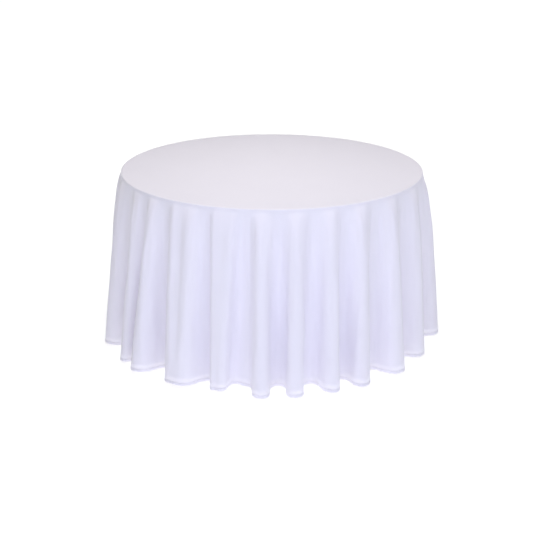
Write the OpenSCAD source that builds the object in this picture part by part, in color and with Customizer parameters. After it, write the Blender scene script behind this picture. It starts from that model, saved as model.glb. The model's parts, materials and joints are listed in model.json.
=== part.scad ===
// Round floor-length tablecloth on a round folding banquet table.
// Origin: on the floor under the middle of the table. +Z is up, millimetres.
// Leg set A folds from the -Y side and leg set B from the +Y side.

/* [Tabletop] */
// Diameter of the tabletop over its edge moulding
table_d = 1372; // [1200:1:1830]
// Height of the tabletop's upper face above the floor
table_h = 761; // [755:1:765]
// Thickness of the plywood core
core_t = 18; // [16:1:20]
// Thickness of the laminate on the core
laminate_t = 1; // [0.6:0.1:1.5]

/* [Tablecloth] */
// Diameter of the cloth before it is draped
cloth_d = 2896; // [2720:1:2900]
// Thickness of the cloth solid
cloth_t = 1; // [0.8:0.1:1.5]
// Number of hanging folds, a multiple of 4
folds = 28; // [20:4:28]
// Depth of a fold at the hem
fold_depth = 118; // [80:1:120]
// Width of the turned hem
hem_w = 12; // [8:1:25]

/* [Legs] */
// Distance from the middle of the table to each leg hinge
hinge_y = 370; // [368:1:374]
// Lean of the opened legs, outwards
splay = 3; // [2.5:0.1:3.5]
// Outer diameter of the leg tubes
tube_d = 28; // [26:0.5:28]
// Outer diameter of the crossbars
bar_d = 19; // [17:0.5:19]

/* [Hidden] */
$fn = 64;

// Tabletop stack
table_r = table_d / 2;
moulding_t = 4;
moulding_round = 3;
edge_r = table_r - moulding_round;
core_r = table_r - moulding_t;
core_top = table_h - laminate_t;
underside = core_top - core_t;
moulding_top = table_h - 0.3;
barb_w = 2.2;
barb_depth = 9;
barb_z = underside + core_t / 2;

// Cleats that carry the leg sets
cleat_w = 90;
cleat_t = 18;
cleat_z = underside - cleat_t;

// Leg sets: A is the wider one and hangs a little higher, so that B folds under its crossbars
A = 0;
B = 1;
tube_x = [316, 278];
hinge_z = [700, 694];
hinge_u = [for (z = hinge_z) z / cos(splay)];
tube_wall = 1.5;
tube_r = tube_d / 2;
bar_r = bar_d / 2;
bar_wall = 1.2;
tube_above = 11;
tube_end = 8;
rod_r = 5;
running = 0.05;
bar_n = tube_r + bar_r - 1;
crossbar_u = 265;
stretcher_u = 520;
bar_past_tube = 10;

// Feet
foot_r = 18;
foot_h = 32;

// Hinge brackets
plate = 3;
ear_gap = 0.8;
ear_r = 14;
flange = 27;
screw_r = 2;
screw_head_r = 4;
screw_head_h = 2;
screw_len = 14;

// Folding braces, in side planes across X
lug_u = 250;
lug_n = -10;
link_r = 9;
rivet_r = 4;
rivet_head_r = 7;
rivet_head_h = 2.5;
lug_x = [-2, 2];
lower_x = [2.3, 5.3];
upper_x = [10, 13];
side_gap = 0.3;
pivot_y = -75;
folded_lug_y = -hinge_y + lug_u;
function pivot_z(s) = hinge_z[s] + lug_n;
function opened_lug(s) = [
    -hinge_y - lug_u * sin(splay) + lug_n * cos(splay),
    hinge_z[s] - lug_u * cos(splay) - lug_n * sin(splay)
];
function pivot(s) = [pivot_y, pivot_z(s)];
function reach(s) = norm(pivot(s) - opened_lug(s));
// Folded flat, the two links double back on each other, so they differ by the pivots' distance
function upper_len(s) = (reach(s) + pivot_y - folded_lug_y) / 2;
function lower_len(s) = reach(s) - upper_len(s);
function brace_angle(s) = let (d = pivot(s) - opened_lug(s)) atan2(d[1], d[0]);

// Draped cloth: rings of [height, share of the fold depth] from the edge of the top to the hem
drop = cloth_d / 2 - table_r;
cloth_top = table_h + cloth_t;
cloth_gap = 0.6;
function bend_gap(angle) = 0.3 + (cloth_gap - 0.3) * cos(angle);
valley_r = table_r + cloth_gap + cloth_t;
bend_z = moulding_top - moulding_round;
hem_z = cloth_top - drop + 5;
steps_per_fold = 6;
around = folds * steps_per_fold;
rings = [
    [bend_z, 0], [cloth_top - 70, 0.3], [cloth_top - 210, 0.55],
    [cloth_top - 450, 0.8], [hem_z + hem_w, 1], [hem_z, 1]
];
hem_ring = len(rings) - 2;

// ---------- placing ----------

// Leg set B is leg set A turned half round, with its own width and height
module for_side(s) {
    rotate([0, 0, 180 * s]) children();
}

// The frame of an opened leg: -Z runs down the leg from its hinge, +Y is its inner face
module in_leg(s) {
    for_side(s) translate([0, -hinge_y, hinge_z[s]]) rotate([-splay, 0, 0]) children();
}

// A cylinder along X from x0 to x1
module along_x(x0, x1, r) {
    translate([x0, 0, 0]) rotate([0, 90, 0]) cylinder(r = r, h = x1 - x0);
}

module box(low, high) {
    translate(low) cube(high - low);
}

// ---------- tabletop ----------

module tabletop_core() {
    color("burlywood") difference() {
        translate([0, 0, underside]) cylinder(r = core_r, h = core_t, $fn = 180);
        edge_groove();
        brace_screw_places() screw(0.05);
        cleat_screw_places() cleat_screw(0.05);
    }
}

module edge_groove() {
    rotate_extrude($fn = 180)
        translate([core_r - barb_depth - 1, barb_z - barb_w / 2]) square([barb_depth + 2, barb_w]);
}

module tabletop_laminate() {
    color("gainsboro") translate([0, 0, core_top]) cylinder(r = core_r, h = laminate_t, $fn = 180);
}

// A vinyl band with a barbed tongue that is knocked into the core's groove
module edge_moulding() {
    low = underside + moulding_round;
    tongue = barb_w / 2 - 0.1;
    lower_round = [for (a = [-90 : 15 : 0]) [edge_r, low] + moulding_round * [cos(a), sin(a)]];
    upper_round = [for (a = [0 : 15 : 90]) edge_point(a, 0)];
    color("dimgray") rotate_extrude($fn = 180) polygon(concat(
        [[core_r, underside]], lower_round, upper_round, [[core_r, moulding_top]],
        [[core_r, barb_z + tongue], [core_r - barb_depth, barb_z + tongue]],
        [[core_r - barb_depth, barb_z - tongue], [core_r, barb_z - tongue]]
    ));
}

// A point [radius, height] off the moulding's upper round, at an angle above the horizontal
function edge_point(angle, off) =
    [edge_r, moulding_top - moulding_round] + (moulding_round + off) * [cos(angle), sin(angle)];

// ---------- cleats and brackets ----------

module cleat(s) {
    end_x = tube_x[s] + 60;
    color("tan") for_side(s) difference() {
        box([-end_x, -hinge_y - cleat_w / 2, cleat_z], [end_x, -hinge_y + cleat_w / 2, underside]);
        own_screw_places(s) screw(0.05);
        own_cleat_screw_places(s) cleat_screw(0.05);
    }
}

module own_cleat_screw_places(s) {
    for (x = [-200, -70, 70, 200]) translate([x, -hinge_y, cleat_z]) children();
}

module cleat_screw_places() {
    for (s = [A, B]) for_side(s) own_cleat_screw_places(s) children();
}

module cleat_screw(play = 0) {
    translate([0, 0, -play]) cylinder(r = screw_r + play, h = cleat_t + 12 + play, $fn = 24);
    translate([0, 0, -screw_head_h]) cylinder(r = screw_head_r, h = screw_head_h, $fn = 24);
}

module cleat_screws() {
    color("silver") cleat_screw_places() cleat_screw();
}

// The screw's seat is at its origin and its shank goes up
module screw(play = 0) {
    translate([0, 0, -play]) cylinder(r = screw_r + play, h = screw_len + play, $fn = 24);
    translate([0, 0, -screw_head_h]) cylinder(r = screw_head_r, h = screw_head_h, $fn = 24);
}

module own_screw_places(s) {
    out = tube_r + plate + ear_gap + flange - 9;
    for (side = [-1, 1], end = [-1, 1], y = [-12, 12])
        translate([side * tube_x[s] + end * out, y - hinge_y, cleat_z - plate])
            children();
}

module bracket_screws() {
    color("silver") for (s = [A, B]) for_side(s) own_screw_places(s) screw();
}

module ear(s, x0) {
    axis_z = hinge_z[s];
    translate([x0, 0, axis_z]) rotate([0, 90, 0]) cylinder(r = ear_r, h = plate);
    box([x0, -ear_r, axis_z], [x0 + plate, ear_r, cleat_z - plate]);
}

module hinge_bracket(s, side) {
    half = tube_r + ear_gap;
    color("slategray") for_side(s) translate([side * tube_x[s], -hinge_y, 0]) difference() {
        union() {
            box([-half - plate - flange, -22, cleat_z - plate], [half + plate + flange, 22, cleat_z]);
            ear(s, half);
            ear(s, -half - plate);
        }
        translate([0, 0, hinge_z[s]]) along_x(-half - 9, half + 9, rod_r + running);
        for (end = [-1, 1], y = [-12, 12])
            translate([end * (half + plate + flange - 9), y, cleat_z - plate - 1])
                cylinder(r = screw_r + running, h = plate + 2, $fn = 24);
    }
}

module hinge_rod(s) {
    reach_x = tube_x[s] + tube_r + ear_gap + plate + 6;
    color("silver") for_side(s) translate([0, -hinge_y, hinge_z[s]]) along_x(-reach_x, reach_x, rod_r);
}

// Push nuts that keep the rods from sliding out
module rod_caps() {
    color("silver") for (s = [A, B], side = [-1, 1]) {
        x = tube_x[s] + tube_r + ear_gap + plate + 1;
        for_side(s) translate([0, -hinge_y, hinge_z[s]]) difference() {
            along_x(side > 0 ? x : -x - 3, side > 0 ? x + 3 : -x, 8.5);
            along_x(-x - 9, x + 9, rod_r);
        }
    }
}

// ---------- leg frames ----------

module leg_tube(s, side) {
    length = hinge_u[s] - tube_end + tube_above;
    color("slategray") in_leg(s) translate([side * tube_x[s], 0, 0]) difference() {
        translate([0, 0, tube_above - length]) cylinder(r = tube_r, h = length);
        translate([0, 0, tube_above - length - 1]) cylinder(r = tube_r - tube_wall, h = length + 2);
        along_x(-tube_r - 1, tube_r + 1, rod_r + running);
    }
}

// A round bar laid across the inner faces of both leg tubes, with saddles cut for them
module cross_tube(s, u) {
    end_x = tube_x[s] + bar_past_tube;
    color("slategray") in_leg(s) difference() {
        translate([0, bar_n, -u]) along_x(-end_x, end_x, bar_r);
        translate([0, bar_n, -u]) along_x(-end_x - 1, end_x + 1, bar_r - bar_wall);
        for (side = [-1, 1])
            translate([side * tube_x[s], 0, -u - 40]) cylinder(r = tube_r, h = 80);
    }
}

// A plastic glide over each tube's end, cut level with the floor
module foot(s, side) {
    u = hinge_u[s];
    color("dimgray") for_side(s) difference() {
        translate([0, -hinge_y, hinge_z[s]]) rotate([-splay, 0, 0])
            translate([side * tube_x[s], 0, 0]) difference() {
                translate([0, 0, -u - 2]) cylinder(r = foot_r, h = foot_h);
                translate([0, 0, -u + tube_end]) cylinder(r = tube_r, h = foot_h);
            }
        box([-table_r, -table_r, -50], [table_r, 0, 0]);
    }
}

// Plugs in the upper ends of the tubes and in the ends of the crossbars
module tube_plugs(s) {
    color("dimgray") in_leg(s) for (side = [-1, 1]) {
        translate([side * tube_x[s], 0, rod_r + 1])
            cylinder(r = tube_r - tube_wall, h = tube_above - rod_r - 1);
        for (u = [crossbar_u, stretcher_u])
            translate([side * (tube_x[s] + bar_past_tube - 1.5), bar_n, -u])
                along_x(-1.5, 1.5, bar_r - bar_wall);
    }
}

// ---------- folding braces ----------

// A flat link of constant width between two eyes in the side plane, from the origin along +Y
module link_plate(x, length) {
    difference() {
        union() {
            along_x(x[0], x[1], link_r);
            translate([0, length, 0]) along_x(x[0], x[1], link_r);
            box([x[0], 0, -link_r], [x[1], length, link_r]);
        }
        along_x(x[0] - 1, x[1] + 1, rivet_r + running);
        translate([0, length, 0]) along_x(x[0] - 1, x[1] + 1, rivet_r + running);
    }
}

module brace_lug(s) {
    web = norm([bar_n - lug_n, crossbar_u - lug_u]);
    web_half = link_r - 1;
    lean = atan2(lug_u - crossbar_u, bar_n - lug_n);
    color("slategray") in_leg(s) difference() {
        union() {
            translate([0, lug_n, -lug_u]) along_x(lug_x[0], lug_x[1], link_r);
            translate([0, lug_n, -lug_u]) rotate([lean, 0, 0])
                box([lug_x[0], 0, -web_half], [lug_x[1], web, web_half]);
        }
        translate([0, bar_n, -crossbar_u]) along_x(-9, 9, bar_r);
        translate([0, lug_n, -lug_u]) along_x(-9, 9, rivet_r + running / 2);
    }
}

module lug_rivet(s) {
    color("silver") in_leg(s) translate([0, lug_n, -lug_u]) {
        along_x(lug_x[0], lower_x[1] + side_gap, rivet_r);
        along_x(lug_x[0] - rivet_head_h, lug_x[0], rivet_head_r);
        along_x(lower_x[1] + side_gap, lower_x[1] + side_gap + rivet_head_h, rivet_head_r);
    }
}

module at_lug(s) {
    p = opened_lug(s);
    for_side(s) translate([0, p[0], p[1]]) rotate([brace_angle(s), 0, 0]) children();
}

module at_pivot(s) {
    p = pivot(s);
    for_side(s) translate([0, p[0], p[1]]) rotate([180 + brace_angle(s), 0, 0]) children();
}

module lower_brace(s) {
    color("slategray") at_lug(s) link_plate(lower_x, lower_len(s));
}

module upper_brace(s) {
    color("slategray") at_pivot(s) link_plate(upper_x, upper_len(s));
}

// The elbow's rivet with its spacer stays on the lower link, and stops short of the upper link
module elbow_rivet(s) {
    color("silver") at_lug(s) translate([0, lower_len(s), 0]) {
        along_x(lower_x[0], upper_x[0] - side_gap, rivet_r);
        along_x(lower_x[0] - 2, lower_x[0], rivet_head_r);
        along_x(lower_x[1], upper_x[0] - side_gap, rivet_head_r);
    }
}

// The rivet's other end, on the upper link
module elbow_head(s) {
    color("silver") at_pivot(s) translate([0, upper_len(s), 0]) {
        along_x(upper_x[0], upper_x[1], rivet_r);
        along_x(upper_x[1], upper_x[1] + rivet_head_h, rivet_head_r);
    }
}

function inner_ear() = [upper_x[0] - side_gap - plate, upper_x[0] - side_gap];
function outer_ear() = [upper_x[1] + side_gap, upper_x[1] + side_gap + plate];

module brace_bracket(s) {
    ear_w = 12;
    color("slategray") for_side(s) translate([0, pivot_y, 0]) difference() {
        union() {
            box([-16, -18, underside - plate], [40, 18, underside]);
            for (x = [inner_ear(), outer_ear()]) {
                box([x[0], -ear_w, pivot_z(s)], [x[1], ear_w, underside - plate]);
                translate([0, 0, pivot_z(s)]) along_x(x[0], x[1], ear_w);
            }
        }
        translate([0, 0, pivot_z(s)]) along_x(0, 30, rivet_r + running);
        for (x = [-9, 33], y = [-10, 10])
            translate([x, y, underside - plate - 1]) cylinder(r = screw_r + running, h = plate + 2, $fn = 24);
    }
}

module brace_bracket_pins() {
    color("silver") for (s = [A, B]) for_side(s) translate([0, pivot_y, pivot_z(s)]) {
        along_x(inner_ear()[0], outer_ear()[1], rivet_r);
        along_x(inner_ear()[0] - 2, inner_ear()[0], 6);
        along_x(outer_ear()[1], outer_ear()[1] + 2, 6);
    }
}

module brace_screw_places() {
    for (s = [A, B]) for_side(s) for (x = [-9, 33], y = [-10, 10])
        translate([x, pivot_y + y, underside - plate]) children();
}

module brace_bracket_screws() {
    color("silver") brace_screw_places() screw();
}

// ---------- cloth ----------

// Radius of the draped cloth's outer face at an angle, for a ring's share of the fold depth
function cloth_r(a, share) = valley_r + fold_depth * share * (1 + cos(folds * a)) / 2;

// Radial distance through a layer t thick, where the fold's side slants
function through(a, share, t) =
    t * sqrt(1 + pow(fold_depth * share * folds * sin(folds * a) / 2 / cloth_r(a, share), 2));

function cloth_ring(z, share, inset) = [
    for (i = [0 : around - 1])
        let (a = 360 * i / around, r = cloth_r(a, share) - through(a, share, inset))
            [r * cos(a), r * sin(a), z]
];

// Triangles between two neighbouring rings of points, given by each ring's first index. The two
// faces of a layer are split along the same diagonals, so that its thickness is the same all over.
function band(next, ring, inner = false) = [
    for (i = [0 : around - 1])
        let (j = (i + 1) % around)
        each inner
            ? [[next + i, ring + i, next + j], [ring + i, ring + j, next + j]]
            : [[next + i, ring + i, ring + j], [next + i, ring + j, next + j]]
];

function fan(first, flip) = [
    for (i = [1 : around - 2]) flip ? [first, first + i, first + i + 1] : [first, first + i + 1, first + i]
];

// A closed wall through a list of rings, outer face first and then back up the inner face
module ring_wall(all_rings) {
    count = len(all_rings);
    polyhedron(
        points = [for (ring = all_rings) each ring],
        faces = [for (k = [0 : count - 1]) each band(around * ((k + 1) % count), around * k, k >= count / 2)]
    );
}

// The ring where the cloth, off the moulding by a distance, bends over the table's edge
function bend_ring(angle, off) =
    let (p = edge_point(angle, off))
    [for (i = [0 : around - 1]) let (a = 360 * i / around) [p[0] * cos(a), p[0] * sin(a), p[1]]];

module tablecloth() {
    count = len(rings);
    outer = [for (ring = rings) cloth_ring(ring[0], ring[1], 0)];
    inner = [for (ring = rings) cloth_ring(ring[0], ring[1], cloth_t)];
    all_rings = concat(
        [for (a = [90, 60, 30]) bend_ring(a, bend_gap(a) + cloth_t)], outer,
        [for (k = [count - 1 : -1 : 0]) inner[k]],
        [for (a = [30, 60, 90]) bend_ring(a, bend_gap(a))]
    );
    last = len(all_rings) - 1;
    color([0.93, 0.92, 0.98]) polyhedron(
        points = [for (ring = all_rings) each ring],
        faces = concat(
            fan(0, false),
            [for (k = [0 : last - 1]) each band(around * (k + 1), around * k, 2 * k >= last)],
            fan(around * last, true)
        )
    );
}

// The cloth's edge, turned twice to the inside
module hem() {
    low = rings[hem_ring + 1];
    high = rings[hem_ring];
    color([0.9, 0.89, 0.96]) ring_wall([
        cloth_ring(high[0], high[1], cloth_t), cloth_ring(low[0], low[1], cloth_t),
        cloth_ring(low[0], low[1], 2 * cloth_t), cloth_ring(high[0], high[1], 2 * cloth_t)
    ]);
}

// The line of sewing that holds the hem, lying on the cloth's outer face
module hem_thread() {
    thread = 0.5;
    high = rings[hem_ring];
    low = [high[0] - thread, high[1]];
    color("white") ring_wall([
        cloth_ring(high[0], high[1], -thread), cloth_ring(low[0], low[1], -thread),
        cloth_ring(low[0], low[1], -0.02), cloth_ring(high[0], high[1], -0.02)
    ]);
}

// ---------- the assembly ----------

tabletop_core();
tabletop_laminate();
edge_moulding();
cleat(A);  // cleat_a
cleat(B);  // cleat_b
cleat_screws();
hinge_bracket(A, -1);  // hinge_bracket_a_left
hinge_bracket(A, 1);  // hinge_bracket_a_right
hinge_bracket(B, 1);  // hinge_bracket_b_left
hinge_bracket(B, -1);  // hinge_bracket_b_right
bracket_screws();
hinge_rod(A);  // hinge_rod_a
hinge_rod(B);  // hinge_rod_b
rod_caps();
brace_bracket(A);  // brace_bracket_a
brace_bracket(B);  // brace_bracket_b
brace_bracket_pins();
brace_bracket_screws();
leg_tube(A, -1);  // leg_tube_a_left
leg_tube(A, 1);  // leg_tube_a_right
leg_tube(B, 1);  // leg_tube_b_left
leg_tube(B, -1);  // leg_tube_b_right
cross_tube(A, crossbar_u);  // crossbar_a
cross_tube(B, crossbar_u);  // crossbar_b
cross_tube(A, stretcher_u);  // stretcher_a
cross_tube(B, stretcher_u);  // stretcher_b
foot(A, -1);  // foot_a_left
foot(A, 1);  // foot_a_right
foot(B, 1);  // foot_b_left
foot(B, -1);  // foot_b_right
tube_plugs(A);  // tube_plugs_a
tube_plugs(B);  // tube_plugs_b
brace_lug(A);  // brace_lug_a
brace_lug(B);  // brace_lug_b
lug_rivet(A);  // lug_rivet_a
lug_rivet(B);  // lug_rivet_b
lower_brace(A);  // lower_brace_a
lower_brace(B);  // lower_brace_b
elbow_rivet(A);  // elbow_rivet_a
elbow_rivet(B);  // elbow_rivet_b
upper_brace(A);  // upper_brace_a
upper_brace(B);  // upper_brace_b
elbow_head(A);  // elbow_head_a
elbow_head(B);  // elbow_head_b
tablecloth();
hem();
hem_thread();
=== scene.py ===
"""Looks of a round folding table under a floor-length tablecloth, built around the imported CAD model.

Everything is in metres in the CAD frame: +Z up, the floor at z = 0, the camera on the -Y side.
The cloth is cut as a flat disc. Its top lies on the table, and its skirt starts as a folded
surface in which every ring already has its cut length, and is then settled by Blender's cloth.
"""

import json
import math

import bpy
import numpy as np
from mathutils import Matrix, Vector


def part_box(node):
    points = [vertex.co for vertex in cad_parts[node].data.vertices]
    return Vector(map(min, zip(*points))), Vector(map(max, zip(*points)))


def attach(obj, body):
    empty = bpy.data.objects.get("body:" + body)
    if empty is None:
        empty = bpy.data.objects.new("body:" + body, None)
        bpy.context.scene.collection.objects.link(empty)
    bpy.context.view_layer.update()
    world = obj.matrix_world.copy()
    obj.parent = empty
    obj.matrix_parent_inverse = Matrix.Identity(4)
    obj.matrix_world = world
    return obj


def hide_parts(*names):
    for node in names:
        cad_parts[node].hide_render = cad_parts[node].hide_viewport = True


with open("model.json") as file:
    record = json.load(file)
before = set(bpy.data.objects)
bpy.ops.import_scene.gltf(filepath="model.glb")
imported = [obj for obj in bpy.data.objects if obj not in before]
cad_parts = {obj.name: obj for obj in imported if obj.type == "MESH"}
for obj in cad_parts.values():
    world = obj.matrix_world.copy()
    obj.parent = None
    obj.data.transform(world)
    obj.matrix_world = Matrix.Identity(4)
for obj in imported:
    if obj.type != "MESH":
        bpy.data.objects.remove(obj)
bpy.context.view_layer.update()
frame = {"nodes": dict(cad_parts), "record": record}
nodes = frame["nodes"]

# ---------- sizes ----------

TABLE_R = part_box("edge_moulding")[1].x
CLOTH_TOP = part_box("tablecloth")[1].z
THICK = 0.0006  # of the fabric
DROP = 0.762  # of the cloth below the table's edge
HEM_W = 0.012
HEM_LAYERS = 3
HEM_OVERLAP = 0.0015  # of the hem's upper edge over the cloth's lower one, and the other way
HEM_PROUD = 0.0002  # of the hem's face before the cloth's
VALLEY_R = TABLE_R + 0.0012  # of the cloth where it hangs close to the table's edge
EDGE_R = 0.005  # of the bend over the table's edge
BEND = EDGE_R * math.pi / 2  # the cloth's length in that bend

# ---------- small helpers ----------


def mesh_object(name, vertices, faces, smooth=True):
    mesh = bpy.data.meshes.new(name)
    mesh.from_pydata(np.asarray(vertices).tolist(), [], [tuple(int(i) for i in f) for f in faces])
    mesh.validate()
    if smooth:
        mesh.polygons.foreach_set("use_smooth", [True] * len(mesh.polygons))
    mesh.update()
    obj = bpy.data.objects.new(name, mesh)
    bpy.context.scene.collection.objects.link(obj)
    return obj


def ring_quads(rings, columns, closed=False):
    """Faces between neighbouring rings of points, and from the last to the first if closed."""
    j = np.arange(columns)
    k = np.arange(rings if closed else rings - 1)[:, None]
    right = (j + 1) % columns
    above, below = k * columns, (k + 1) % rings * columns
    return np.stack([above + j, below + j, below + right, above + right], -1).reshape(-1, 4)


def smoothstep(x, low, high):
    t = np.clip((x - low) / (high - low), 0, 1)
    return t * t * (3 - 2 * t)


def catmull(p, f):
    """Catmull-Rom cubic from p[1] at f = 0 to p[2] at f = 1."""
    return p[1] + 0.5 * f * (
        p[2] - p[0] + f * (2 * p[0] - 5 * p[1] + 4 * p[2] - p[3] + f * (3 * (p[1] - p[2]) + p[3] - p[0]))
    )


# ---------- the folds ----------
# Each line is a crest or a valley: its azimuth in degrees just below the table's edge and at the
# hem, and how far out it lies at each, as a share of the folds' depth. Azimuth 0 faces the camera
# and 90 is the right-hand side.

FRONT_FOLDS = [
    (-93, -93, 0.0, 0.1),
    (-85, -84, 0.8, 0.8),
    (-77, -77, 0.0, 0.1),
    (-69, -68, 1.0, 1.08),
    (-60, -60, 0.0, 0.15),
    (-54, -53, 0.9, 1.08),
    (-49, -49.3, 0.2, 0.35),
    (-44.5, -45.3, 1.0, 1.22),
    (-38, -38, 0.0, 0.15),
    (-34, -31.8, 0.95, 1.06),
    (-31, -30, 0.6, 1.06),
    (-27.5, -29, 0.95, 1.04),
    (-21.5, -20.8, 0.0, 0.2),
    (-19, -18, 0.8, 0.8),
    (-16.3, -17, 0.7, 0.81),
    (-13.5, -15.9, 0.82, 0.8),
    (-9, -12.3, 0.0, 0.15),
    (-7.8, -9, 0.1, 0.25),
    (-4, -3.4, 1.0, 1.12),
    (2.3, 1.9, 0.0, 0.16),
    (7.5, 6.5, 1.0, 1.1),
    (13, 12.4, 0.0, 0.16),
    (19, 18.3, 1.0, 1.01),
    (24, 23, 0.0, 0.16),
    (30, 28, 1.0, 1.05),
    (36.5, 35.4, 0.0, 0.1),
    (44, 42.2, 1.0, 1.05),
    (51, 50.3, 0.0, 0.2),
    (58.5, 56.7, 1.0, 0.92),
    (68, 68, 0.0, 0.2),
    (76, 75.5, 1.0, 0.97),
    (83, 83, 0.0, 0.15),
    (90, 90, 0.8, 0.8),
    (97, 97, 0.0, 0.1),
]
BACK_FOLDS = 15
random = np.random.default_rng(7)


def back_folds(start, end):
    """The folds on the far side, as lines like those above, with their own widths and depths."""
    widths = random.uniform(0.8, 1.25, BACK_FOLDS)
    valleys = start + np.cumsum(widths) * (end - start) / widths.sum()
    lines, last = [], start
    for valley in valleys:
        crest = last + random.uniform(0.42, 0.58) * (valley - last)
        at_hem = crest + random.uniform(-1, 1)
        lines.append((crest, at_hem, random.uniform(0.85, 1.0), random.uniform(0.98, 1.12)))
        at_hem = valley + random.uniform(-1, 1)
        lines.append((valley, at_hem, 0.0, random.uniform(0.05, 0.25)))
        last = valley
    return lines[:-1]


CHART = np.array(FRONT_FOLDS + back_folds(FRONT_FOLDS[-1][0], FRONT_FOLDS[0][0] + 360), float)

# From a valley to a crest, the cloth's direction swings out by an angle omega and back again, like
# half a sine wave. These tables hold, for every omega and place in the half wave, how far along
# and how far outwards the cloth has come for a length of 1.

PLACES = np.linspace(0, 1, 91)
OMEGAS = np.linspace(0, 2.2, 221)


def running_integral(values):
    """The integral of each row of values over the places, from 0 up to each place."""
    steps = (values[..., 1:] + values[..., :-1]) / 2 / (len(PLACES) - 1)
    return np.concatenate([np.zeros(values.shape[:-1] + (1,)), np.cumsum(steps, -1)], -1)


ANGLES = OMEGAS[:, None] * np.sin(math.pi * PLACES)[None, :]
ALONG = running_integral(np.cos(ANGLES))
OUTWARD = running_integral(np.sin(ANGLES))
ASPECT = OUTWARD[:, -1] / ALONG[:, -1]  # rise over width, for every omega


def sample(table, row, column):
    """Bilinear look-up."""
    r0 = np.clip(row.astype(int), 0, table.shape[0] - 2)
    c0 = np.clip(column.astype(int), 0, table.shape[1] - 2)
    fr, fc = row - r0, column - c0
    upper = table[r0, c0] * (1 - fc) + table[r0, c0 + 1] * fc
    lower = table[r0 + 1, c0] * (1 - fc) + table[r0 + 1, c0 + 1] * fc
    return upper * (1 - fr) + lower * fr


def chart_at(drop):
    """Azimuths and shares of the crests and valleys at a drop below the edge, closed round."""
    t = drop / DROP
    azimuth = CHART[:, 0] + (CHART[:, 1] - CHART[:, 0]) * t
    share = CHART[:, 2] + (CHART[:, 3] - CHART[:, 2]) * t ** 0.7
    return np.radians(np.append(azimuth, azimuth[0] + 360)), np.append(share, share[0])


def half_waves(depth, azimuth, share):
    """Radii of the crests and valleys, and the length and omega of the cloth between them."""
    radius = VALLEY_R + depth * share
    width = np.diff(azimuth) * (radius[1:] + radius[:-1]) / 2
    omega = np.interp(np.abs(np.diff(radius)) / width, ASPECT, OMEGAS)
    return radius, width / np.interp(omega, OMEGAS, ALONG[:, -1]), omega


STEEPEST = 0.75  # rise of a crest over its drop, a little below the edge
EASE = 0.012  # of drop in which a crest reaches half of that
MOST_DEPTH = 0.25  # more than any ring needs
HALVINGS = 40  # of the range in which a ring's depth is looked for
SHARES_AT = 0.67 * DROP  # the drop that says which column of the cloth runs down each crest


def fold_depth(drop, azimuth, share):
    """The depth at which the ring has its cut length, and less close to the edge."""
    low, high = 0.0, MOST_DEPTH
    for _ in range(HALVINGS):
        middle = (low + high) / 2
        if half_waves(middle, azimuth, share)[1].sum() < 2 * math.pi * (TABLE_R + drop):
            low = middle
        else:
            high = middle
    fall = max(drop - BEND, 0)
    return low * math.tanh(STEEPEST * fall ** 2 / (fall + EASE) / low)


def chart_shares(drop):
    """Each crest's and valley's share of the way round the cloth, as it is at that drop."""
    azimuth, share = chart_at(drop)
    lengths = half_waves(fold_depth(drop, azimuth, share), azimuth, share)[1]
    return np.concatenate([[0], np.cumsum(lengths)]) / lengths.sum()


CHART_SHARES = chart_shares(SHARES_AT)


def folded_ring(drop, shares):
    """Points of the ring cut at that drop, where shares are the points' shares of the way round."""
    azimuth, share = chart_at(drop)
    radius, lengths, omega = half_waves(fold_depth(drop, azimuth, share), azimuth, share)
    k = np.clip(np.searchsorted(CHART_SHARES, shares, side="right") - 1, 0, len(lengths) - 1)
    place = (shares - CHART_SHARES[k]) / np.diff(CHART_SHARES)[k] * (len(PLACES) - 1)
    row = omega[k] / (OMEGAS[1] - OMEGAS[0])
    along = sample(ALONG, row, place) / np.interp(omega[k], OMEGAS, ALONG[:, -1])
    outward = sample(OUTWARD, row, place) * lengths[k] * np.sign(np.diff(radius))[k]
    a = azimuth[k] + along * np.diff(azimuth)[k]
    r = radius[k] + outward
    return np.stack([r * np.sin(a), -r * np.cos(a)], -1)


# ---------- the skirt before it settles ----------

COLUMNS = 480
SIM_RINGS = 36
SIM_FRAMES = 24
LEAST_FALL = 0.7  # of a ring below the one above, over their distance on the cloth
FALL_SMOOTHING = 12
FIRST = math.radians(FRONT_FOLDS[0][0])


def sim_drops():
    """Drops of the simulated rings below the edge, closer together near it."""
    t = np.linspace(0, 1, SIM_RINGS)
    return BEND + (DROP - BEND) * (0.35 * t + 0.65 * t ** 1.6)


def smoothed_round(values, passes):
    """Values round the skirt, each averaged with its neighbours a number of times."""
    for _ in range(passes):
        values = (np.roll(values, 1) + 2 * values + np.roll(values, -1)) / 4
    return values


def folded_skirt():
    """Rings of points. Each column keeps its cut length, so where it moves outwards it drops less."""
    drops = sim_drops()
    shares = np.arange(COLUMNS) / COLUMNS
    rings, z = [], np.full(COLUMNS, CLOTH_TOP - EDGE_R)
    for i, drop in enumerate(drops):
        points = folded_ring(drop, shares)
        if i > 0:
            step = drop - drops[i - 1]
            sideways = np.linalg.norm(points - rings[-1][:, :2], axis=1)
            fall = np.sqrt(np.maximum(step ** 2 - sideways ** 2, (LEAST_FALL * step) ** 2))
            z = z - smoothed_round(fall, FALL_SMOOTHING)
        rings.append(np.column_stack([points, z]))
    return np.array(rings), drops


def circle(radius, columns):
    """Evenly spaced points, starting at the first fold's azimuth."""
    a = FIRST + 2 * math.pi * np.arange(columns) / columns
    return np.stack([radius * np.sin(a), -radius * np.cos(a)], -1)


def flat_rings(radii, columns, z):
    """Rings of the cloth as it is cut."""
    return np.array([np.column_stack([circle(r, columns), np.full(columns, z)]) for r in radii])


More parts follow.
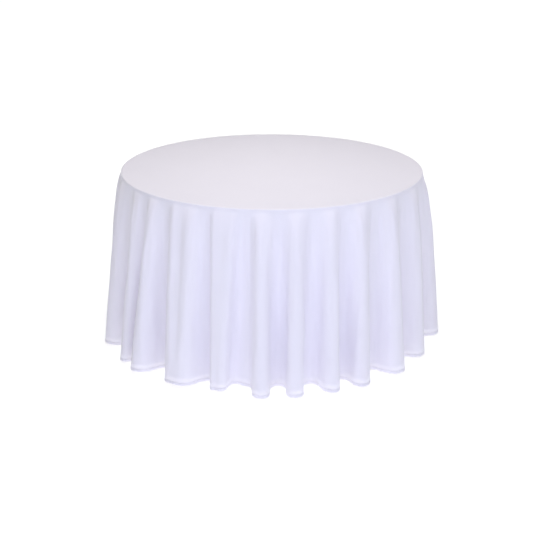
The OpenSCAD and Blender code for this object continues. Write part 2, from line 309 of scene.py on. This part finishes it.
def settled(rings, flat, frames):
    """The skirt after it has hung for a number of frames, with its top ring held."""
    obj = mesh_object("skirt_sim", rings.reshape(-1, 3), ring_quads(len(rings), COLUMNS))
    obj.shape_key_add(name="hung")
    cut = obj.shape_key_add(name="cut")
    cut.data.foreach_set("co", flat.reshape(-1))
    held = obj.vertex_groups.new(name="held")
    held.add(list(range(COLUMNS)), 1.0, "REPLACE")
    modifier = obj.modifiers.new("Cloth", "CLOTH")
    s = modifier.settings
    s.rest_shape_key = cut
    s.vertex_group_mass = "held"
    s.quality = 5
    s.mass = 0.0005
    s.air_damping = 1.0
    s.bending_model = "ANGULAR"
    s.tension_stiffness = 40
    s.compression_stiffness = 40
    s.shear_stiffness = 5
    s.bending_stiffness = 0.05
    s.tension_damping = 5
    s.compression_damping = 5
    s.shear_damping = 1
    s.bending_damping = 0.1
    scene = bpy.context.scene
    scene.frame_end = frames
    for f in range(1, frames + 1):
        scene.frame_set(f)
    shape = obj.evaluated_get(bpy.context.evaluated_depsgraph_get()).data
    co = np.zeros(len(shape.vertices) * 3)
    shape.vertices.foreach_get("co", co)
    bpy.data.objects.remove(obj)
    scene.frame_set(1)
    return co.reshape(len(rings), COLUMNS, 3)


# ---------- the finished cloth ----------

FINE_COLUMNS = 1440
TOP_RADII = [0.12, 0.25, 0.38, 0.5, 0.6, 0.65, 0.675]  # of the rings on the flat top
BEND_STEPS = 5
CREASE = 0.0011
CREASE_LENGTHS = (0.035, 0.16)


def resampled_columns(rings, count):
    """Rings of points with another number of columns, by closed cubic interpolation."""
    n = rings.shape[1]
    at = np.arange(count) * n / count
    i = at.astype(int)
    f = (at - i)[None, :, None]
    return catmull([rings[:, (i + k) % n] for k in (-1, 0, 1, 2)], f)


def resampled_drops(rings, drops, wanted):
    """Rings at the wanted drops, by cubic interpolation down the cloth."""
    out = []
    for d in wanted:
        k = int(np.clip(np.searchsorted(drops, d) - 1, 0, len(drops) - 2))
        f = (d - drops[k]) / (drops[k + 1] - drops[k])
        before = rings[k - 1] if k > 0 else 2 * rings[0] - rings[1]
        after = rings[k + 2] if k + 2 < len(drops) else 2 * rings[-1] - rings[-2]
        out.append(catmull([before, rings[k], rings[k + 1], after], f))
    return np.array(out)


def surface_normals(rings):
    """Unit normals of a closed band of rings, pointing out of the skirt."""
    across = np.roll(rings, -1, 1) - np.roll(rings, 1, 1)
    down = np.gradient(rings, axis=0)
    normal = np.cross(down, across)
    return normal / np.linalg.norm(normal, axis=2, keepdims=True)


def soft_noise(drops, columns, finest, coarsest):
    """Smooth noise over the skirt, with waves between two lengths round it and long ones down it."""
    levels = 7
    spectrum = np.fft.rfft(random.standard_normal((levels, columns)), axis=1)
    waves = 2 * math.pi * (TABLE_R + DROP / 2) / np.maximum(np.arange(spectrum.shape[1]), 1)
    spectrum *= np.exp(-(finest / waves) ** 2 * 2) * np.exp(-(waves / coarsest) ** 2 * 2)
    noise = np.fft.irfft(spectrum, columns, axis=1)
    noise /= noise.std()
    at = np.clip(drops / DROP, 0, 1) * (levels - 1)
    k = np.clip(at.astype(int), 0, levels - 2)
    f = smoothstep(at - k, 0, 1)[:, None]
    return noise[k] * (1 - f) + noise[k + 1] * f


def skirt_drops():
    """Drops of the finished rings, closest together where the folds start and at the hem."""
    start = [0.0, 0.003, 0.007, 0.012, 0.018, 0.026, 0.036, 0.048]
    body = np.arange(0.062, DROP - BEND - HEM_W - 0.01, 0.016)
    return BEND + np.concatenate([start, body, [DROP - BEND - HEM_W + HEM_OVERLAP]])


def creased(rings, drops):
    """Small soft creases, so that no fold is perfectly even."""
    size = CREASE * smoothstep(drops, 0.01, 0.12)[:, None]
    offset = size * soft_noise(drops, rings.shape[1], *CREASE_LENGTHS)
    return rings + surface_normals(rings) * offset[..., None]


def bend_rings(around):
    """The flat top's last ring, then the quarter round in which the cloth turns down over the edge."""
    turns = np.linspace(0, math.pi / 2, BEND_STEPS + 1)[:-1]
    radii = np.append(TOP_RADII[-1], VALLEY_R - EDGE_R + EDGE_R * np.sin(turns))
    heights = np.append(CLOTH_TOP, CLOTH_TOP - EDGE_R + EDGE_R * np.cos(turns))
    rings = [np.column_stack([around * r, np.full(len(around), z)]) for r, z in zip(radii, heights)]
    return np.array(rings)


def store_cut(obj, flat):
    """Keeps each point's place on the flat cloth, for the weave."""
    attribute = obj.data.attributes.new("cut", "FLOAT_VECTOR", "POINT")
    points = np.zeros((len(obj.data.vertices), 3))
    points[: flat.shape[0] * flat.shape[1], :2] = flat[..., :2].reshape(-1, 2)
    attribute.data.foreach_set("vector", points.reshape(-1))


def tablecloth_drape(skirt, drops):
    """The cloth above its hem as a closed layer: an outer and an inner face, each with a middle point.

    The bend's columns follow the skirt's, so that no face between them cuts the corner.
    """
    top = flat_rings(TOP_RADII[:-1], FINE_COLUMNS, CLOTH_TOP)
    around = skirt[0, :, :2] / np.linalg.norm(skirt[0, :, :2], axis=1, keepdims=True)
    bend = bend_rings(around)
    outer = np.concatenate([top, bend, skirt])
    normals = surface_normals(outer)
    normals[: len(TOP_RADII) + 1] = (0, 0, 1)
    inner = outer - THICK * normals
    middles = [[0, 0, CLOTH_TOP], [0, 0, CLOTH_TOP - THICK]]
    points = np.concatenate([outer.reshape(-1, 3), inner[::-1].reshape(-1, 3), middles])
    rings = 2 * len(outer)
    upper_middle, lower_middle = rings * FINE_COLUMNS, rings * FINE_COLUMNS + 1
    last_ring = (rings - 1) * FINE_COLUMNS
    j = np.arange(FINE_COLUMNS)
    right = (j + 1) % FINE_COLUMNS
    faces = [tuple(q) for q in ring_quads(rings, FINE_COLUMNS)]
    faces += [(upper_middle, a, b) for a, b in zip(j, right)]
    faces += [(lower_middle, last_ring + b, last_ring + a) for a, b in zip(j, right)]
    obj = mesh_object("tablecloth_drape", points, faces)
    bend_radii = TABLE_R + BEND * np.linspace(-1, 0, BEND_STEPS + 1)[:-1]
    hanging = flat_rings(np.concatenate([bend_radii, TABLE_R + drops]), FINE_COLUMNS, 0.0)
    flat = np.concatenate([outer[: len(TOP_RADII)], hanging])
    store_cut(obj, np.concatenate([flat, flat[::-1]]))
    return obj


# ---------- hem and stitches ----------

HEM_COLUMNS = 2 * FINE_COLUMNS
HEM_RINGS = 6
TURN_DOWN = 0.0005  # of the hem's round lower edge below its faces
PUCKER = 0.0007
PUCKER_LENGTHS = (0.012, 0.05)
PATCH_LENGTHS = (0.2, 1.0)  # of the stretches of hem that pucker
STITCH_PITCH = 0.004
STITCH_L = 0.0031
STITCH_R = 0.00028
STITCH_UP = 0.0105  # above the cloth's lower edge
AHEAD = 0.0005  # along the row, to find which way it runs
# Along a stitch: place, width and height over the cloth. Across it: sideways and outwards.
STITCH_PROFILE = [(-0.5, 0.35, 0.1), (-0.3, 1.0, 0.9), (0.3, 1.0, 0.9), (0.5, 0.35, 0.1)]
STITCH_SECTION = [(-1, -0.4), (-0.6, 0.8), (0.6, 0.8), (1, -0.4)]


def hem_surface(rings, drops):
    """The lowest band of the cloth's outer face, with the small puckers that the sewing draws in."""
    wanted = np.linspace(DROP - HEM_W - HEM_OVERLAP, DROP, HEM_RINGS)
    band = resampled_columns(resampled_drops(rings, drops, wanted), HEM_COLUMNS)
    normals = surface_normals(band)
    pucker = PUCKER * soft_noise(wanted, HEM_COLUMNS, *PUCKER_LENGTHS)
    patches = smoothstep(soft_noise(wanted, HEM_COLUMNS, *PATCH_LENGTHS), -0.6, 1.2)
    pucker *= patches * np.linspace(0, 1, HEM_RINGS)[:, None]
    band = band + normals * (HEM_PROUD + pucker)[..., None]
    band[..., 2] += 0.6 * np.abs(pucker)
    return band, wanted


def turned_hem(band, wanted):
    """The hem as a closed strip, with its turned edge inside and a round lower edge."""
    normals = surface_normals(band)
    depth = HEM_LAYERS * THICK
    inner = band - depth * normals
    inner[-1] = band[-1] - 0.75 * depth * normals[-1]
    tuck = band[-1:] - 0.4 * depth * normals[-1:]
    tuck[..., 2] -= TURN_DOWN
    loop = np.concatenate([band, tuck, inner[::-1]])
    obj = mesh_object("hem_band", loop.reshape(-1, 3), ring_quads(len(loop), HEM_COLUMNS, closed=True))
    radii = TABLE_R + np.concatenate([wanted, [DROP], wanted[::-1] + HEM_W])
    store_cut(obj, flat_rings(radii, HEM_COLUMNS, 0.0))
    return obj


def hem_stitches(band, wanted):
    """One row of separate short stitches round the hem, pressed into the cloth's outer face."""
    line = resampled_drops(band, wanted, [DROP - STITCH_UP])[0]
    normal = resampled_drops(surface_normals(band), wanted, [DROP - STITCH_UP])[0]
    steps = np.linalg.norm(np.roll(line, -1, 0) - line, axis=1)
    at = np.concatenate([[0], np.cumsum(steps)])
    count = int(at[-1] / STITCH_PITCH)

    def along(values, s):
        closed = np.vstack([values, values[:1]])
        return np.stack([np.interp(s % at[-1], at, closed[:, i]) for i in range(3)], -1)

    middle = np.arange(count) * at[-1] / count
    points = []
    for place, width, height in STITCH_PROFILE:
        s = middle + place * STITCH_L
        centre, out = along(line, s), along(normal, s)
        side = np.cross(out, along(line, s + AHEAD) - centre)
        side /= np.linalg.norm(side, axis=1, keepdims=True)
        for u, v in STITCH_SECTION:
            points.append(centre + side * u * width * STITCH_R + out * v * height * STITCH_R)
    points = np.array(points).transpose(1, 0, 2).reshape(-1, 3)
    one = []
    for k in (0, 4, 8):  # the first point of each section but the last
        one += [(k + a, k + b, k + 4 + b, k + 4 + a) for a, b in ((0, 1), (1, 2), (2, 3), (3, 0))]
    one += [(3, 2, 1, 0), (12, 13, 14, 15)]
    first = len(STITCH_PROFILE) * len(STITCH_SECTION) * np.arange(count)
    faces = (np.array(one)[None] + first[:, None, None]).reshape(-1, 4)
    return mesh_object("hem_stitches", points, faces)


start, drops = folded_skirt()
flat = flat_rings(TABLE_R + drops, COLUMNS, CLOTH_TOP)
hung = settled(start, flat, SIM_FRAMES)
fine = resampled_columns(hung, FINE_COLUMNS)
wanted = skirt_drops()
all_drops = np.append(wanted, [DROP - HEM_W / 2, DROP])
whole = creased(resampled_drops(fine, drops, all_drops), all_drops)
cloth = tablecloth_drape(whole[: len(wanted)], wanted)
band, band_drops = hem_surface(whole, all_drops)
hem = turned_hem(band, band_drops)
stitches = hem_stitches(band, band_drops)

# ---------- camera, light and floor ----------

CAMERA = (-0.024, -3.75, 1.71)
PITCH = 21.2  # degrees below the horizon
SENSOR = 36  # mm, along the picture's longer side
LENS = 55.948  # mm

camera_data = bpy.data.cameras.new("camera")
camera_data.sensor_width = SENSOR
camera_data.lens = LENS
camera = bpy.data.objects.new("camera", camera_data)
camera.location = CAMERA
camera.rotation_euler = (math.radians(90 - PITCH), 0, 0)
bpy.context.scene.collection.objects.link(camera)
bpy.context.scene.camera = camera
bpy.context.scene.view_settings.view_transform = "Standard"


def softbox(name, place, target, size, power, color):
    """A round lamp of that size, aimed at the target."""
    data = bpy.data.lights.new(name, "AREA")
    data.shape, data.size, data.energy, data.color = "DISK", size, power, color
    obj = bpy.data.objects.new(name, data)
    obj.location = place
    obj.rotation_euler = (Vector(target) - Vector(place)).to_track_quat("-Z", "Y").to_euler()
    bpy.context.scene.collection.objects.link(obj)


COOL = (0.66, 0.72, 1.0)
softbox("softbox_over", (0, -0.4, 3.9), (0, 0, 0.4), 1.2, 90, (1, 0.97, 0.98))
softbox("softbox_left", (-1.5, -3.1, 1.3), (0, 0, 0.4), 1.6, 12, COOL)
softbox("softbox_front", (0, -3.5, 1.1), (0, 0, 0.3), 1.4, 17, COOL)
softbox("softbox_right", (1.5, -3.1, 1.3), (0, 0, 0.4), 1.6, 14, COOL)
softbox("softbox_side", (3.4, -0.6, 1.3), (0, 0, 0.4), 1.6, 8, COOL)
softbox("softbox_back", (0, 3.7, 0.9), (0, 0, 0.3), 0.8, 18, (0.9, 0.92, 1.0))

# a white backdrop that itself gives only a faint fill light
FILL = 0.06
world = bpy.data.worlds.new("studio")
world.use_nodes = True
backdrop = world.node_tree.nodes["Background"]
backdrop.inputs["Color"].default_value = (1, 1, 1, 1)
seen = world.node_tree.nodes.new("ShaderNodeLightPath")
strength = world.node_tree.nodes.new("ShaderNodeMath")
strength.operation = "MAXIMUM"
strength.inputs[1].default_value = FILL
world.node_tree.links.new(seen.outputs["Is Camera Ray"], strength.inputs[0])
world.node_tree.links.new(strength.outputs["Value"], backdrop.inputs["Strength"])
bpy.context.scene.world = world

FLOOR = 60.0
corners = [(-FLOOR, -FLOOR, 0), (FLOOR, -FLOOR, 0), (FLOOR, FLOOR, 0), (-FLOOR, FLOOR, 0)]
floor = mesh_object("studio_floor", corners, [(0, 1, 2, 3)], smooth=False)

# ---------- materials ----------


class Graph:
    """A material and short ways to add nodes to it. Plain numbers go on the shader's own sockets."""

    def __init__(self, name, **sockets):
        self.material = bpy.data.materials.new(name)
        self.material.use_nodes = True
        self.tree = self.material.node_tree
        self.shader = self.tree.nodes["Principled BSDF"]
        for socket, value in sockets.items():
            self.shader.inputs[socket.replace("_", " ")].default_value = value

    def add(self, kind, inputs=None, **settings):
        node = self.tree.nodes.new("ShaderNode" + kind)
        for name, value in settings.items():
            setattr(node, name, value)
        for key, value in (inputs or {}).items():
            if isinstance(value, bpy.types.NodeSocket):
                self.tree.links.new(value, node.inputs[key])
            else:
                node.inputs[key].default_value = value
        return node

    def place(self, scale=(1, 1, 1), turn=(0, 0, 0), attribute=None):
        """The point on the object in metres, or a stored attribute, stretched and turned."""
        if attribute:
            source = self.add("Attribute", attribute_name=attribute).outputs["Vector"]
        else:
            source = self.add("TexCoord").outputs["Object"]
        return self.add("Mapping", {"Vector": source, "Scale": scale, "Rotation": turn}).outputs["Vector"]

    def noise(self, where, scale, detail=4.0, rough=0.55):
        sockets = {"Vector": where, "Scale": scale, "Detail": detail, "Roughness": rough}
        return self.add("TexNoise", sockets).outputs["Fac"]

    def ramp(self, value, stops):
        """A colour ramp through (position, grey or colour) stops."""
        node = self.add("ValToRGB", {"Fac": value})
        elements = node.color_ramp.elements
        while len(elements) < len(stops):
            elements.new(0.5)
        for element, (position, color) in zip(elements, stops):
            element.position = position
            element.color = (*color, 1) if hasattr(color, "__len__") else (color, color, color, 1)
        return node.outputs["Color"]

    def math(self, operation, a, b):
        return self.add("Math", {0: a, 1: b}, operation=operation).outputs["Value"]

    def mix(self, factor, a, b):
        node = self.add("Mix", {"Factor": factor}, data_type="RGBA")
        for socket, value in ((node.inputs[6], a), (node.inputs[7], b)):
            if isinstance(value, bpy.types.NodeSocket):
                self.tree.links.new(value, socket)
            else:
                socket.default_value = (*value, 1)
        return node.outputs[2]

    def color(self, value):
        self.tree.links.new(value, self.shader.inputs["Base Color"])

    def roughness(self, value, low, high):
        node = self.add("MapRange", {"Value": value, "To Min": low, "To Max": high})
        self.tree.links.new(node.outputs["Result"], self.shader.inputs["Roughness"])

    def bump(self, height, strength, distance):
        """Adds a bump on top of those already there."""
        before = self.shader.inputs["Normal"].links
        inputs = {"Height": height, "Strength": strength, "Distance": distance}
        if before:
            inputs["Normal"] = before[0].from_socket
        node = self.add("Bump", inputs)
        self.tree.links.new(node.outputs["Normal"], self.shader.inputs["Normal"])


def thread_scale(pitch):
    """A wave texture's scale for bands a pitch apart. At a scale of 1 it turns 20 radians in a metre."""
    return math.pi / 10 / pitch


def plain_weave(g, pitch):
    """Height of crossing threads, on the flat cloth."""
    scale = thread_scale(pitch)
    where = g.place(attribute="cut")
    sockets = {"Vector": where, "Scale": scale, "Distortion": 0.4}
    warp = g.add("TexWave", sockets, bands_direction="X").outputs["Fac"]
    weft = g.add("TexWave", sockets, bands_direction="Y").outputs["Fac"]
    return g.math("MULTIPLY", warp, weft)


def cloth_material(name, light, dark, pitch=0.0009):
    """White plain-woven polyester that passes some light: fine threads, faint slubs and a soft sheen."""
    g = Graph(
        name, Sheen_Weight=0.18, Sheen_Roughness=0.45, Sheen_Tint=(0.94, 0.93, 1, 1), Specular_IOR_Level=0.35,
        Subsurface_Weight=0.5, Subsurface_Scale=0.001, Subsurface_Radius=(1, 1, 1),
    )
    cloud = g.noise(g.place(), 5.0, 5.0)
    slub = g.noise(g.place((14, 900, 1), attribute="cut"), 1.0, 3.0)
    patch = g.math("ADD", g.math("MULTIPLY", cloud, 0.7), g.math("MULTIPLY", slub, 0.3))
    g.color(g.mix(patch, dark, light))
    g.roughness(cloud, 0.68, 0.8)
    g.bump(slub, 0.12, 0.0004)
    g.bump(plain_weave(g, pitch), 0.25, 0.00012)
    return g.material


def thread_material():
    """Twisted polyester sewing thread."""
    g = Graph("thread_twist", Sheen_Weight=0.2, Sheen_Roughness=0.3, Specular_IOR_Level=0.5)
    sockets = {"Vector": g.place((1, 1, 1.6)), "Scale": 400.0, "Distortion": 1.0}
    twist = g.add("TexWave", sockets).outputs["Fac"]
    g.color(g.mix(twist, (0.66, 0.63, 0.7), (0.76, 0.73, 0.8)))
    g.roughness(twist, 0.4, 0.6)
    g.bump(twist, 0.4, 0.0001)
    return g.material


def wood_grain(g, along, scale):
    """Rings of wood seen along a board, with the grain running the way of axis along."""
    stretch = [1.0, 1.0, 1.0]
    stretch[along] = 0.06
    where = g.place(stretch)
    warp = g.noise(where, 6.0, 3.0)
    sockets = {"Vector": where, "Scale": scale, "Distortion": 9.0, "Detail": 3.0, "Detail Scale": 1.6}
    grain = g.add("TexWave", sockets, bands_direction="DIAGONAL").outputs["Fac"]
    fibres = g.noise(g.place([s * 260 for s in stretch]), 1.0, 2.0)
    streaks = g.math("MULTIPLY", g.math("MULTIPLY", warp, fibres), 0.7)
    return g.math("ADD", g.math("MULTIPLY", grain, 0.6), streaks)


def plywood_material():
    """Birch plywood: grained faces, and darker glue lines between the plies where the edge shows."""
    g = Graph("birch_plywood", Specular_IOR_Level=0.35)
    browns = [(0.15, (0.40, 0.26, 0.13)), (0.55, (0.56, 0.40, 0.23)), (0.95, (0.66, 0.50, 0.31))]
    face = g.ramp(wood_grain(g, 0, 1.6), browns)
    layers = g.add("TexWave", {"Vector": g.place(), "Scale": thread_scale(0.0026)}, bands_direction="Z")
    glue = g.ramp(layers.outputs["Fac"], [(0.0, 0.55), (0.18, 1.0)])
    lined = g.add("Mix", {"Factor": 1.0, 6: face, 7: glue}, data_type="RGBA", blend_type="MULTIPLY")
    g.color(g.mix(0.8, face, lined.outputs[2]))
    fibres = g.noise(g.place((8, 220, 220)), 1.0, 4.0)
    g.roughness(fibres, 0.5, 0.75)
    g.bump(fibres, 0.25, 0.0003)
    return g.material


def cleat_material():
    """Sawn softwood with a dull clear finish."""
    g = Graph("cleat_pine", Specular_IOR_Level=0.3)
    browns = [(0.2, (0.36, 0.22, 0.11)), (0.6, (0.54, 0.38, 0.21)), (1.0, (0.64, 0.47, 0.28))]
    g.color(g.ramp(wood_grain(g, 0, 5.0), browns))
    fibres = g.noise(g.place((10, 300, 300)), 1.0, 4.0)
    g.roughness(fibres, 0.55, 0.85)
    g.bump(fibres, 0.35, 0.0004)
    return g.material


def laminate_material():
    """Pale grey laminate with a fine speckle and faint circular wear."""
    g = Graph("laminate_speckle", Specular_IOR_Level=0.5)
    speckle = g.noise(g.place(), 900.0, 2.0)
    stain = g.noise(g.place(), 7.0, 5.0)
    greys = [(0.35, (0.46, 0.45, 0.43)), (0.5, (0.62, 0.61, 0.58)), (0.7, (0.7, 0.69, 0.66))]
    base = g.ramp(speckle, greys)
    g.color(g.mix(g.math("MULTIPLY", stain, 0.25), base, (0.5, 0.48, 0.44)))
    g.roughness(stain, 0.3, 0.5)
    g.bump(speckle, 0.08, 0.0002)
    return g.material


def vinyl_material():
    """Dark vinyl edge band, scuffed where tables are rolled on it."""
    g = Graph("vinyl_edge", Specular_IOR_Level=0.45)
    scuffs = g.ramp(g.noise(g.place((30, 30, 260)), 1.0, 6.0, 0.7), [(0.55, 0.0), (0.75, 1.0)])
    g.color(g.mix(scuffs, (0.045, 0.042, 0.04), (0.16, 0.15, 0.145)))
    g.roughness(scuffs, 0.38, 0.62)
    g.bump(g.noise(g.place(), 700.0, 3.0), 0.15, 0.0002)
    return g.material


def hammered_material():
    """Grey hammered stove enamel on steel tube, with small chips down to the metal."""
    g = Graph("hammered_enamel", Specular_IOR_Level=0.6, Coat_Weight=0.25, Coat_Roughness=0.2)
    cells = g.add("TexVoronoi", {"Vector": g.place(), "Scale": 380.0}, feature="SMOOTH_F1")
    dimples = cells.outputs["Distance"]
    chips = g.ramp(g.noise(g.place(), 60.0, 8.0, 0.75), [(0.69, 0.0), (0.72, 1.0)])
    tint = g.mix(dimples, (0.10, 0.105, 0.11), (0.19, 0.2, 0.21))
    g.color(g.mix(chips, tint, (0.30, 0.27, 0.24)))
    g.roughness(chips, 0.33, 0.6)
    g.bump(dimples, 0.35, 0.0003)
    return g.material


def zinc_material():
    """Bright zinc plating with a faint spangle and brushed marks."""
    g = Graph("zinc_plate", Metallic=1.0)
    spangle = g.noise(g.place(), 350.0, 3.0)
    brushed = g.noise(g.place((30, 900, 900)), 1.0, 3.0)
    g.color(g.mix(spangle, (0.50, 0.50, 0.48), (0.68, 0.68, 0.66)))
    g.roughness(brushed, 0.25, 0.45)
    g.bump(brushed, 0.12, 0.0002)
    return g.material


def glide_material():
    """Black moulded plastic with a fine spark-eroded grain, dusty near the floor."""
    g = Graph("glide_plastic", Specular_IOR_Level=0.4)
    grain = g.noise(g.place(), 1500.0, 2.0)
    dust = g.math("MULTIPLY", g.noise(g.place(), 40.0, 6.0), 0.35)
    g.color(g.mix(dust, (0.018, 0.018, 0.019), (0.13, 0.125, 0.115)))
    g.roughness(grain, 0.45, 0.65)
    g.bump(grain, 0.3, 0.0002)
    return g.material


def floor_material():
    """White floor with painted light: it glows like a light table, faintly under the object and more away
    from it.
    """
    g = Graph("floor_painted_glow", Base_Color=(0.62, 0.62, 0.62, 1), Roughness=0.7, Emission_Color=(1, 1, 1, 1))
    away = g.add("VectorMath", {0: g.place()}, operation="LENGTH").outputs["Value"]
    reach = {"Value": away, "From Min": 1.2, "From Max": 4.0, "To Min": 0.7, "To Max": 1.0}
    glow = g.add("MapRange", reach)
    # painted light: the floor's own glow lights the skirt from below, less near the object and more away from
    # it
    g.tree.links.new(glow.outputs["Result"], g.shader.inputs["Emission Strength"])
    return g.material


CAD_MATERIALS = {
    "plywood": plywood_material(),
    "laminate": laminate_material(),
    "vinyl_edge": vinyl_material(),
    "cleat_wood": cleat_material(),
    "grey_steel": hammered_material(),
    "zinc_steel": zinc_material(),
    "black_plastic": glide_material(),
}

for part in frame["record"]["subparts"]:
    if part["material_slot"] in CAD_MATERIALS:
        mesh = nodes[part["node"]].data
        mesh.materials.clear()
        mesh.materials.append(CAD_MATERIALS[part["material_slot"]])

# the hem is three layers thick, so that it looks a little whiter
cloth.data.materials.append(cloth_material("cloth_weave", (0.90, 0.875, 0.94), (0.87, 0.845, 0.91)))
hem.data.materials.append(cloth_material("hem_weave", (0.91, 0.885, 0.95), (0.88, 0.855, 0.92)))
stitches.data.materials.append(thread_material())
floor.data.materials.append(floor_material())

# ---------- what goes with what ----------

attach(cloth, "cloth")
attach(hem, "cloth")
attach(stitches, "cloth")
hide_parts("tablecloth")
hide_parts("hem")
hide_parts("hem_thread")
